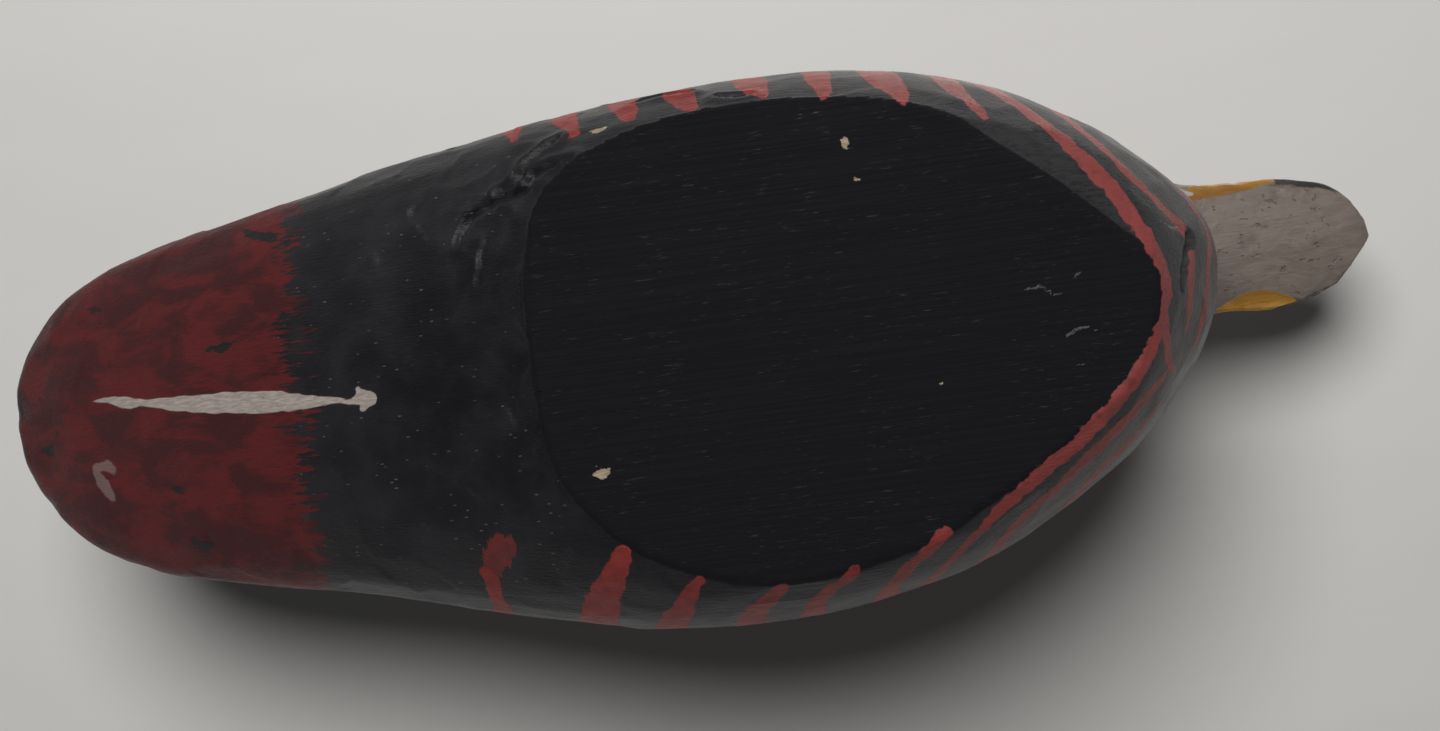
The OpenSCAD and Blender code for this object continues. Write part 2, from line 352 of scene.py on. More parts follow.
def carve_body():
    body = Carving("carved_body", "body", BODY_VOXEL)
    body.relax(4)
    p = body.points
    x, y, z = p.T
    level = widest_level(x)
    seat = smoothstep(np.hypot(x - NECK[0], y - NECK[1]), 20, 26)

    lift_round_flat(body)
    body.cut_facets(330, 0.35, 5, 0.8)
    body.relax(1)
    p = body.points
    height = 0.22 * noise(p, 15, 1) + 0.12 * noise(p, (12, 4, 4), 2) + 0.05 * noise(p, 2.6, 3)

    # torn grain and filler at the right rear corner of the flat
    torn = bell(p, (-19, -39, 5), (13, 7, 9)) + 0.7 * bell(p, (-33, -32, 7), (8, 8, 8))
    ridges = 1 - np.abs(noise(p, (6, 2.6, 3.5), 8))
    height += torn * (1.1 * (ridges - 0.7) + 0.4 * noise(p, 3.4, 5) + 0.2 * noise(p, 1.7, 6))
    tree = body.tree()
    cracks = body.strokes(CRACKS, tree)
    height += 0.5 * smoothstep(cracks, -3.2, -0.8) - 1.7 * smoothstep(cracks, -0.7, 0.5)

    # wings, and shallow cuts between their long feathers and in the tail
    wing = wing_field(p)
    height += 1.0 * smoothstep(wing, -0.8, 0.9) - 0.35 * bell(wing[:, None], [-1.4], 1.2)
    middle = middle_line(x)
    side = np.abs(y - middle)
    primary = np.abs(((z - 47) - 0.16 * (-20 - x)) % 5.2 - 2.6)
    primaries = smoothstep(wing, 0.4, 2) * smoothstep(-12 - x, 0, 8) * smoothstep(side, 6, 10)
    height -= 0.5 * primaries * smoothstep(0.75 - primary, 0, 0.75)
    feathers = feather_rows(p)
    scales = smoothstep(wing, 0.6, 2.5) * smoothstep(x + 12, -4, 4)
    height -= 0.5 * scales * smoothstep(1.1 - feathers, 0, 1.1)
    fan = np.abs((np.arctan2(y - middle, x + 60) * 14 + 100) % 2 - 1)
    tail_top = smoothstep(-92 - x, 0, 8) * smoothstep(z - level, 0.5, 3)
    height -= 0.45 * tail_top * smoothstep(0.28 - fan, 0, 0.28)
    body.push(height * seat)

    # a small cut at the tip of the breast, and nicks in the tail's edge
    p = body.points
    tree = body.tree()
    notch = [(95, -11, 13.5, 1.5), (93.5, -8.5, 11, 1.1), (92, -5, 7.5, 0.6), (91, -2, 6.5, 0.3)]
    body.push(-2.2 * smoothstep(body.stroke(notch, tree), -0.4, 1.4))
    for nick in ((-141, -8, 46), (-135, 2, 42), (-131, -22, 44), (-120, 28, 42), (-138, 12, 45)):
        body.push(-0.7 * bell(body.points, nick, (2.6, 2, 2.2)))

    # the sanded flat again, and a round fillet up to the neck's seat
    p = body.points
    inner = inside_outline(p[:, :2], FLAT) + 0.5 * noise(p, 9, 9)
    edge = 0.35 * np.maximum(-inner, 0) ** 0.8
    p[:, 2] = np.where(p[:, 2] < 14, np.maximum(p[:, 2], edge), p[:, 2])
    p[:, 2] = np.where((inner > 0) & (p[:, 2] < 2.4), 0.0, p[:, 2])
    around = np.hypot(p[:, 0] - NECK[0], p[:, 1] - NECK[1])
    fillet = 4.2 * smoothstep(FILLET_END - around, 0, 14) ** 2
    rise = np.clip(NECK[2] - 2.4 - p[:, 2], 0, 8)
    p[:, 2] += np.where((p[:, 2] > 50) & (around > FILLET_START), np.minimum(fillet, rise * 0.8), 0)
    body.points = p

    tree = body.tree()
    bars = [grown_bar(ends) for ends in RIGHT_BARS + LEFT_BARS]
    body.keep_field("red", body.strokes(bars + BREAST_STRIPES, tree))
    body.keep_field("faded", body.stroke(FADED_BAR, tree))
    body.keep_field("under_tail", TAIL_PAINT_END - p[:, 0] - 0.06 * p[:, 1])
    body.keep_field("tail_rim", widest_level(p[:, 0]) - TAIL_RIM - p[:, 2])
    body.keep_field("white", body.strokes([TAIL_STREAK, TAIL_BLOB], tree))
    body.keep_field("belly", np.minimum(-20 - p[:, 0], 24 - p[:, 2]))
    body.keep_field("flat", inside_outline(p[:, :2], FLAT) - np.maximum(p[:, 2], 0))
    body.keep_field("wing", wing_field(p))
    body.keep_field("feather", feather_rows(p))
    body.keep_field("chips", body.strokes(CHIPS, tree))
    body.keep_field("scratches", body.strokes(SCRATCHES, tree))
    body.keep_field("nicks", body.strokes(NICKS, tree))
    body.keep_field("smudge", body.strokes(SMUDGES, tree))
    body.keep_field("seat", around_neck(p))
    return body


def around_neck(p):
    """How far in mm a point on the neck's seat lies inside the bare disc there."""
    around = np.hypot(p[:, 0] - NECK[0], p[:, 1] - NECK[1])
    return np.where(p[:, 2] > NECK[2] - 0.9, SEAT_RADIUS - around, -FAR)


def grown_bar(ends):
    """A flank bar from its lower end up to the wing, leaning back a little and tapering."""
    x, y = ends[-1][:2]
    side = math.copysign(50, y)
    return ends + [(x - 2.5, side, 27, 3.1), (x - 5, side, 38, 3.3), (x - 7, side * 0.96, 47, 1.0)]


# Cracks in the torn grain behind the flat's right rear corner, and along its right edge.
CRACKS = [[(-16, -44.5, 8, 0.2), (-19.5, -43, 7.5, 0.5), (-22.5, -41, 7, 0.6), (-24, -38.5, 5.5, 0.5),
           (-29, -36.5, 6.5, 0.2)],
          [(-13, -40.5, 2, 0.2), (-17.5, -39.8, 3.7, 0.6), (-21, -38.5, 4.6, 0.7), (-22.5, -36.5, 4, 0.5),
           (-28, -35, 5.6, 0.7), (-34.5, -33, 7.4, 0.5), (-37.5, -28.5, 7.2, 0.2)],
          [(14, -48, 6, 0.2), (17.5, -47.3, 5, 0.5), (20, -47.5, 5, 0.2)],
          [(-2, -49, 12, 0.2), (3, -49.3, 12, 0.4), (9, -49, 10.5, 0.2)]]

# Bare or filled spots, fine scratches, and the pale smear under the tail.
CHIPS = [[(-17, 16, 0, 0.3), (-15.5, 16.3, 0, 0.8), (-14, 15.8, 0, 0.3)],
         [(-16, 15, 0, 0.3), (-15.6, 17, 0, 0.5)],
         [(35.3, -36.3, 0, 0.7), (35.7, -35.4, 0, 0.7)],
         [(36.6, -29.4, 0, 0.4), (37.4, -29, 0, 0.3)],
         [(-9.8, -45, 6.1, 0.3), (-8, -44.8, 5.6, 0.8), (-6.2, -44.9, 5.2, 0.3)],
         [(46, 8, 0, 0.3), (47, 8.2, 0, 0.3)]]
SCRATCHES = [[(62, -6.3, 0, 0.15), (65, -6, 0, 0.3), (67, -5.4, 0, 0.15)],
             [(66, -7, 0, 0.15), (67.5, -5, 0, 0.35), (70, -4, 0, 0.15)],
             [(71.5, -6.5, 0, 0.15), (73, -7.5, 0, 0.3)],
             [(69, 3.5, 0, 0.2), (71.5, 2, 0, 0.3), (75, 2.6, 0, 0.2)],
             [(69.5, 8, 0, 0.15), (72.5, 8.8, 0, 0.15)],
             [(28, -42, 0, 0.2), (31, -41.6, 0, 0.2), (33, -42, 0, 0.2)],
             [(88.3, -14.8, 5, 0.2), (91, -13.2, 8.4, 0.5), (93, -13.3, 11, 0.3)],
             [(48, -41.5, 0.5, 0.2), (49.5, -40.5, 0.5, 0.4)]]
NICKS = [[(-136.5, 0.5, 42, 0.7), (-135, 1, 41, 1.1), (-133.5, -0.5, 40, 0.4)],
         [(-132, -3, 39, 0.4), (-131.6, -2.4, 39, 0.5)],
         [(-134.8, -10, 42, 0.5), (-134, -9.6, 42, 0.6)],
         [(-119, -26.3, 38, 0.3), (-117.5, -26, 38, 0.7), (-116, -25.8, 37, 0.3)],
         [(-104.5, 10.8, 31, 0.4), (-103, 11, 31, 0.9), (-102, 11.2, 31, 0.4)],
         [(-102, 20, 33, 0.4), (-100.5, 21.5, 33, 1.4), (-98.5, 21.5, 33, 0.7)],
         [(-92, -15.5, 27, 0.3), (-88.5, -15.3, 26, 1.0), (-85, -16, 25, 0.4)],
         [(-84, -38, 28, 0.2), (-80, -35.5, 26, 0.8), (-75, -34, 24, 1.2)]]
SMUDGES = [[(-123, 5, 35.5, 0.9), (-119.5, 5, 34, 1.1), (-118.5, 6.5, 34, 0.5)],
           [(-122.6, 6, 36, 0.9), (-121.8, 8.5, 35.5, 1.5), (-120, 11, 35, 1.0)]]


# ---------------------------------------------------------------- the head block

def head_frame(p):
    """Places along the head, sideways from its middle and above the table."""
    x = p[:, 0] - NECK[0]
    bend = np.interp(x, [30, 42, 50, 60, 68, 76, 84], [0, -1.4, -1.8, -1.4, -0.8, -0.3, 0.2])
    return x, p[:, 1] - NECK[1] - bend, p[:, 2]


BILL_START = 39.0           # ahead of the neck's axis
OCHRE_MIDDLE = 57.5         # the middle of the ochre patch on each side
MOUTH_LEVEL = 85.2
EYE_BED = 4.0               # the radius of the round bed that each eye sits in


def bill_root(side, z):
    """How far ahead the face's feathers reach at each height, from the neck's axis."""
    return BILL_START - 0.012 * (side ** 2) + 0.14 * (z - 88) - 0.0085 * (z - 88) ** 2 + 2


def shape_bill(head):
    """The bill's own hand-cut shape: a slanting tip, a tilted underside and full lores."""
    p = head.points
    along, side, z = head_frame(p)
    chamfer = np.interp(along, [58, 63, 67, 71, 76.3, 79.6, 82.5, 84.5],
                        [16, 13.6, 12.6, 11.6, 9.2, 5.4, 1.8, -1])
    p[:, 1] -= 0.92 * np.maximum(side - chamfer, 0) * (along > 58)
    bend = np.interp(along, [48, 68, 80], [2.6, 1.2, -2.6])
    under = smoothstep(84 - z, 0, 2.5) * smoothstep(along, 40, 50)
    p[:, 2] += under * 0.17 * np.maximum(side - bend, 0)
    p[:, 2] += under * 0.05 * np.maximum(-5 - side, 0)
    for hand in (-1, 1):
        p[:, 1] += hand * 2.8 * bell(p - NECK, (41, hand * 16, 11), (5, 6, 6)) * (along > 25)
    head.points = p
    head.relax(2)


def carve_head():
    head = Carving("carved_head", "head", HEAD_VOXEL)
    head.relax(4)
    joint = smoothstep(head.points[:, 2], 79, 84)
    bill = smoothstep(head_frame(head.points)[0], 38, 44)
    shape_bill(head)
    before = head.points.copy()
    head.cut_facets(210, 0.3, 9, 0.85)
    head.relax(1)
    p = head.points
    along, side, z = head_frame(p)
    height = 0.14 * noise(p, 9, 1) + 0.1 * noise(p, (8, 3, 3), 2) + 0.04 * noise(p, 1.8, 3)

    # the face stands a little proud of the bill, with a cut between them
    root = along - bill_root(side, z)
    height += 0.5 * smoothstep(-root, -0.4, 0.8) * smoothstep(along, 30, 36)
    height -= 0.45 * np.exp(-(root / 0.7) ** 2)

    # mouth line, nostrils and the nail at the bill's tip
    on_side = smoothstep(np.abs(side), 8.5, 11) + smoothstep(along, 78, 82)
    mouth = MOUTH_LEVEL + 0.05 * (along - 50) - 0.9 * smoothstep(along, 60, 78)
    height -= 0.5 * np.clip(on_side, 0, 1) * np.exp(-((z - mouth) / 0.5) ** 2) * (along > 41)
    for hand in (-1, 1):
        nostril = np.exp(-((along - 52) / 3.2) ** 2 - ((side - hand * 6.2) / 1.0) ** 2)
        height -= 1.1 * nostril * (z > 88)
    nail = np.exp(-((along - 80) / 4) ** 2 - (side / 3.4) ** 2)
    height += 0.35 * nail * (z > 84)

    # a few knife flats and pits under the bill, and a soft hollow along the cheeks
    pits = smoothstep(noise(p, 1.7, 7), 0.50, 0.75) * bill * (z < 83)
    height -= 0.5 * pits * smoothstep(2 - side, 0, 4) * smoothstep(72 - along, 0, 8)
    height += 0.18 * noise(p, (6, 3, 3), 12) * bill
    lumpy = bill * smoothstep(84 - z, 0, 1.5) * smoothstep(3 - side, 0, 5) * smoothstep(76 - along, 0, 10)
    height += 0.45 * lumpy * noise(p, (3, 2.1, 2.1), 14)
    for hand in (-1, 1):
        height -= 0.5 * bell(p - NECK, (29, hand * 18, 17), (9, 6, 5))
        height += 0.35 * bell(p - NECK, (26, hand * 18, 34), (8, 6, 3.5))
    head.push(height)
    moved = head.points - before
    eyes = eye_rim(head.points)
    hold = joint * smoothstep(-eyes, 0.2, 2.2)
    head.points = before + moved * hold[:, None]

    p = head.points
    along, side, z = head_frame(p)
    root = along - bill_root(side, z)
    head.keep_field("bill", root)
    right = np.minimum.reduce([along - 46.5, 66 - along, -side - 10.9 - 2.4 * ((along - 48) / 18) ** 2])
    left = np.minimum.reduce([along - 50.5, 68 - along, side - 9.8 - 2.9 * ((along - 59.5) / 8.5) ** 2])
    arch = 80.6 + 8.2 * (1 - ((along - OCHRE_MIDDLE) / 12.5) ** 2)
    level = np.minimum(z - 81.2, arch - z)
    ochre = np.minimum(np.maximum(right, left), level)
    head.keep_field("ochre", ochre)
    dark_side = np.abs(side) - 10 + 0.4 * np.maximum(along - 70, 0)
    dark_tip = np.minimum.reduce([along - 61 - 0.7 * (z - 84), dark_side, z - 83.6])
    ridge = np.minimum(z - 84.5, 5.5 - np.abs(side) + 0.35 * np.maximum(along - 66, 0))
    lip_edge = -side - 12.4 + 0.10 * np.maximum(along - 66, 0) ** 1.25
    lip = np.minimum.reduce([along - 65.5, 80 - along, lip_edge])
    head.keep_field("dark", np.maximum.reduce([dark_tip, ridge, lip]))
    # how far below the mouth's level a point lies; the ochre is painted browner there as painted shade
    head.keep_field("under", 84.2 - z)
    head.keep_field("cheek", cheek(p))
    tree = head.tree()
    head.keep_field("white", head.strokes(head_whites(), tree))
    head.keep_field("cream", head.strokes(head_creams(), tree))
    head.keep_field("eye", eye_rim(p))
    return head


def eye_rim(p):
    """Signed distance in mm into the round bed of the nearer eye."""
    best = np.full(len(p), -FAR)
    for node in ("eye_left", "eye_right"):
        low, high = (np.array(corner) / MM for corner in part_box(node))
        middle = (low + high) / 2
        away = np.hypot(p[:, 0] - middle[0], p[:, 2] - middle[2])
        same_side = (p[:, 1] - NECK[1]) * (middle[1] - NECK[1]) > 0
        best = np.maximum(best, np.where(same_side, EYE_BED - away, -FAR))
    return best


def cheek(p):
    """Signed distance in mm into the brick-red cheek behind and below each eye."""
    along, side, z = head_frame(p)
    shape = 1 - ((along - 8) / 17) ** 2 - ((z - 95 - 0.22 * (along - 8)) / 8.5) ** 2
    return np.where(np.abs(side) > 6, shape * 6, -FAR)


def mirrored(marks):
    """The same marks, given from the neck's axis, on the head's right and left side."""
    x, y, _ = NECK
    return [[(x + a, y + hand * b, c, w) for a, b, c, w in marks] for hand in (-1, 1)]


def head_whites():
    brow = [(30, 16, 113, 0.2), (22, 19, 114.5, 0.8), (10, 19, 114, 1.1), (-2, 17, 110, 0.7),
            (-9, 13, 106, 0.2)]
    chin = [(43, 16.5, 83, 1.0), (45.5, 15.2, 82.4, 1.2), (48, 14.5, 82, 0.5)]
    return mirrored(brow) + mirrored(chin)


def head_creams():
    lores = [(40, 17.5, 84, 1.2), (38.5, 18, 88, 1.8), (38, 16, 93, 1.7), (38, 14, 98, 1.3),
             (37, 11, 103, 0.5)]
    return mirrored(lores)


# ---------------------------------------------------------------- materials

class Paint:
    """A node material, with short names for the nodes that it uses."""

    def __init__(self, name):
        self.material = bpy.data.materials.new(name)
        self.material.use_nodes = True
        self.tree = self.material.node_tree
        self.tree.nodes.clear()
        self.place = self.node("ShaderNodeTexCoord").outputs["Object"]

    def node(self, kind, **settings):
        made = self.tree.nodes.new(kind)
        for key, value in settings.items():
            setattr(made, key, value)
        return made

    def put(self, socket, value):
        """Links a socket, or sets its own value."""
        if isinstance(value, bpy.types.NodeSocket):
            self.tree.links.new(value, socket)
        else:
            socket.default_value = value

    def field(self, name):
        return self.node("ShaderNodeAttribute", attribute_name=name).outputs["Fac"]

    def sum(self, *values):
        """Adds sockets and numbers."""
        total = values[0]
        for value in values[1:]:
            total = self.maths("ADD", total, value)
        return total

    def maths(self, operation, a, b=0.0):
        made = self.node("ShaderNodeMath", operation=operation)
        self.put(made.inputs[0], a)
        self.put(made.inputs[1], b)
        return made.outputs[0]

    def grain(self, size, detail=3.0, rough=0.55, bend=0.0):
        """Noise from 0 to 1 whose features are size mm: a number, or three along the axes."""
        sizes = size if isinstance(size, tuple) else (size,) * 3
        mapping = self.node("ShaderNodeMapping")
        self.put(mapping.inputs["Vector"], self.place)
        mapping.inputs["Scale"].default_value = [1 / (s * MM) for s in sizes]
        mapping.inputs["Location"].default_value = (0.37, 0.61, 0.83)
        made = self.node("ShaderNodeTexNoise")
        self.put(made.inputs["Vector"], mapping.outputs[0])
        made.inputs["Scale"].default_value = 1.0
        made.inputs["Detail"].default_value = detail
        made.inputs["Roughness"].default_value = rough
        made.inputs["Distortion"].default_value = bend
        return made.outputs["Fac"]

    def dots(self, size, radius):
        """1 at scattered dots, one to each cell of size mm, with a radius as a share of the cell."""
        mapping = self.node("ShaderNodeMapping")
        self.put(mapping.inputs["Vector"], self.place)
        mapping.inputs["Scale"].default_value = [1 / (s * MM) for s in size]
        made = self.node("ShaderNodeTexVoronoi")
        self.put(made.inputs["Vector"], mapping.outputs[0])
        made.inputs["Scale"].default_value = 1.0
        return self.step(made.outputs["Distance"], radius, 0.6 * radius)

    def step(self, value, low, high, start=0.0, end=1.0):
        made = self.node("ShaderNodeMapRange", interpolation_type="SMOOTHSTEP")
        self.put(made.inputs["Value"], value)
        for name, number in (("From Min", low), ("From Max", high), ("To Min", start), ("To Max", end)):
            made.inputs[name].default_value = number
        return made.outputs["Result"]

    def wander(self, noise_socket, reach):
        """Noise from 0 to 1 turned into plus or minus reach."""
        return self.maths("MULTIPLY", self.maths("SUBTRACT", noise_socket, 0.5), 2 * reach)

    def mix(self, share, a, b):
        """Blends two colours or, if both are numbers or number sockets, two values."""
        colours = isinstance(a, tuple) or isinstance(b, tuple) or a.type == "RGBA"
        made = self.node("ShaderNodeMix", data_type="RGBA" if colours else "FLOAT")
        first = 6 if colours else 2
        self.put(made.inputs[0], share)
        for socket, value in ((made.inputs[first], a), (made.inputs[first + 1], b)):
            self.put(socket, (*value, 1.0) if isinstance(value, tuple) else value)
        return made.outputs[2 if colours else 0]

    def both(self, a, b):
        return self.maths("MULTIPLY", a, b)

    def bump(self, height, depth, before=None):
        """Bump whose height of 0 to 1 stands for depth in mm."""
        made = self.node("ShaderNodeBump")
        made.inputs["Strength"].default_value = 1.0
        made.inputs["Distance"].default_value = depth * MM
        self.put(made.inputs["Height"], height)
        if before is not None:
            self.put(made.inputs["Normal"], before)
        return made.outputs["Normal"]

    def surface(self, colour, roughness, normal, **more):
        shader = self.node("ShaderNodeBsdfPrincipled")
        self.put(shader.inputs["Base Color"], colour)
        self.put(shader.inputs["Roughness"], roughness)
        self.put(shader.inputs["Normal"], normal)
        for name, value in more.items():
            self.put(shader.inputs[name.replace("_", " ")], value)
        out = self.node("ShaderNodeOutputMaterial")
        self.tree.links.new(shader.outputs[0], out.inputs["Surface"])
        return self.material


BLACK = (0.0085, 0.0085, 0.0105)
FLAT_BLACK = (0.0040, 0.0040, 0.0058)
BRICK = (0.088, 0.0105, 0.0115)
DARK_BRICK = (0.040, 0.0070, 0.0080)
BAR_RED = (0.240, 0.034, 0.029)
WHITE_PAINT = (0.42, 0.37, 0.34)
CREAM = (0.44, 0.36, 0.20)
BARE_WOOD = (0.40, 0.33, 0.22)
TAUPE = (0.165, 0.132, 0.114)
DARK_TAUPE = (0.085, 0.068, 0.060)
OCHRE = (0.43, 0.22, 0.030)


def body_paint():
    m = Paint("body_paint")
    bristles = m.grain((9, 0.55, 0.8), 4, 0.6, 0.4)
    fine = m.grain((2.4, 0.35, 0.5), 3, 0.6)
    blotch = m.grain(11, 4, 0.6)
    speck = m.grain(1.6, 2, 0.5)
    long_grain = m.grain((34, 0.5, 0.7), 5, 0.62, 0.15)
    belly = m.step(m.field("belly"), 0.0, 6.0)
    pores = m.both(m.dots((4.2, 1.5, 1.9), 0.14), m.step(m.grain(9, 2, 0.5), 0.38, 0.50))
    pores = m.both(pores, belly)

    flat = m.step(m.sum(m.field("flat"), m.wander(m.grain(2.2, 3, 0.6), 0.5)), -1.9, -0.9)
    black = m.mix(m.step(blotch, 0.35, 0.75), BLACK, (0.016, 0.016, 0.019))
    black = m.mix(m.both(pores, m.step(fine, 0.3, 0.6, 0.4, 1.0)), black, (0.085, 0.083, 0.088))
    flat_black = m.mix(m.step(long_grain, 0.50, 0.80), FLAT_BLACK, (0.0070, 0.0070, 0.0088))
    dashes = m.both(m.step(m.grain((3.2, 0.33, 0.5), 3, 0.6, 0.3), 0.61, 0.72), m.step(blotch, 0.42, 0.56))
    flat_black = m.mix(m.both(dashes, 0.65), flat_black, (0.042, 0.042, 0.047))
    # the black is painted greyer towards the breast in brushed streaks: partly a painted sheen, partly
    # rubbed paint
    apart = m.node("ShaderNodeSeparateXYZ")
    m.put(apart.inputs[0], m.place)
    front = m.step(apart.outputs["X"], 15 * MM, 75 * MM)
    near_flat = m.step(m.field("flat"), -34, -12, 1.0, 0.8)
    # painted sheen: grey streaks laid over the black on the breast
    sheen_and_rub = m.both(m.both(front, near_flat), m.step(bristles, 0.25, 0.6))
    black = m.mix(sheen_and_rub, black, (0.034, 0.033, 0.034))
    colour = m.mix(flat, black, flat_black)

    # the folded wings: thin dry taupe edges on brown-black feathers
    wing = m.step(m.sum(m.field("wing"), m.wander(bristles, 0.7)), -0.2, 0.6)
    edge = m.step(m.sum(m.field("feather"), m.wander(bristles, 0.9)), 2.3, 0.9)
    dry = m.step(bristles, 0.38, 0.62)
    wing_colour = m.mix(m.both(edge, dry), (0.018, 0.015, 0.014), (0.125, 0.098, 0.082))
    colour = m.mix(wing, colour, wing_colour)

    # red: thin brushed paint, streaked where the black shows through
    red_edge = m.wander(m.grain((2.4, 2.4, 6), 3, 0.55), 1.1)
    red = m.step(m.sum(m.field("red"), red_edge), -0.18, 0.22)
    thin = m.step(m.grain((2.2, 2.2, 7), 4, 0.65), 0.30, 0.46)
    red_share = m.both(red, m.step(thin, 0, 1, 0.72, 1))
    faded = m.both(m.step(m.sum(m.field("faded"), m.wander(m.grain((0.8, 5, 3), 4, 0.7), 2.4)), -0.2, 0.5),
                   0.55)
    bar_colour = m.mix(m.step(m.grain(3.5, 4, 0.65), 0.32, 0.7), (0.160, 0.023, 0.021), BAR_RED)
    # painted sheen: the bars and stripes turn paler and pinker towards the breast
    bar_colour = m.mix(m.both(front, 0.45), bar_colour, (0.27, 0.075, 0.070))
    colour = m.mix(m.maths("MAXIMUM", red_share, faded), colour, bar_colour)

    jags = m.sum(m.wander(m.grain((40, 1.1, 3), 4, 0.7), 18), m.wander(m.grain(9, 2, 0.5), 5))
    tail = m.step(m.sum(m.field("under_tail"), jags), -0.4, 1.0)
    tail = m.both(tail, m.step(m.sum(m.field("tail_rim"), m.wander(bristles, 2.5)), -0.3, 0.4))
    patches = m.sum(m.wander(m.grain((16, 7, 7), 3, 0.6, 0.5), 1.0), m.wander(bristles, 0.28))
    tail_colour = m.mix(m.step(patches, -0.20, 0.22), DARK_BRICK, BRICK)
    thin_spots = m.step(m.grain((9, 2.2, 3), 5, 0.65, 0.5), 0.66, 0.78)
    tail_colour = m.mix(m.both(thin_spots, 0.8), tail_colour, (0.014, 0.007, 0.008))
    tail_colour = m.mix(m.both(m.step(fine, 0.66, 0.80), 0.35), tail_colour, (0.130, 0.040, 0.040))
    nicks = m.step(m.sum(m.field("nicks"), m.wander(m.grain((2.2, 0.8, 1), 4, 0.7), 1.2)), -0.1, 0.2)
    tail_colour = m.mix(nicks, tail_colour, (0.010, 0.008, 0.009))
    colour = m.mix(tail, colour, tail_colour)

    white = m.step(m.sum(m.field("white"), m.wander(m.grain((3, 0.9, 1.2), 3, 0.6), 0.14)), -0.12, 0.14)
    white_colour = m.mix(m.step(bristles, 0.35, 0.7), (0.30, 0.255, 0.235), WHITE_PAINT)
    colour = m.mix(white, colour, white_colour)
    smudge = m.both(m.step(m.sum(m.field("smudge"), m.wander(speck, 0.5)), -0.2, 0.3), 0.42)
    colour = m.mix(smudge, colour, (0.30, 0.22, 0.21))
    chips = m.step(m.sum(m.field("chips"), m.wander(m.grain(0.9, 3, 0.6), 0.45)), -0.05, 0.12)
    colour = m.mix(chips, colour, m.mix(m.step(fine, 0.35, 0.65), (0.24, 0.19, 0.14), BARE_WOOD))
    scratches = m.step(m.sum(m.field("scratches"), m.wander(m.grain(0.6, 2, 0.6), 0.35)), -0.05, 0.2)
    colour = m.mix(m.both(scratches, 0.45), colour, (0.20, 0.19, 0.18))
    colour = m.mix(m.step(m.field("seat"), 0.0, 0.6), colour, (0.20, 0.135, 0.075))

    gloss = m.mix(flat, m.step(blotch, 0.3, 0.7, 0.30, 0.42), m.step(long_grain, 0.4, 0.7, 0.80, 0.95))
    gloss = m.mix(m.maths("MAXIMUM", tail, red), gloss, m.step(bristles, 0.3, 0.7, 0.40, 0.58))
    gloss = m.mix(chips, gloss, 0.85)

    strokes = m.bump(m.both(bristles, m.step(flat, 0, 1, 1.0, 0.3)), 0.16)
    strokes = m.bump(m.mix(flat, m.maths("MULTIPLY", fine, 0.6), m.both(long_grain, 0.35)), 0.20, strokes)
    strokes = m.bump(m.both(pores, -1.0), 0.25, strokes)
    edges = m.maths("MAXIMUM", m.both(red, 0.7), m.maths("MAXIMUM", m.both(tail, 0.5), white))
    strokes = m.bump(edges, 0.05, strokes)
    strokes = m.bump(m.both(m.maths("MAXIMUM", chips, scratches), -1.0), 0.2, strokes)
    return m.surface(colour, gloss, strokes, Specular_IOR_Level=0.2)


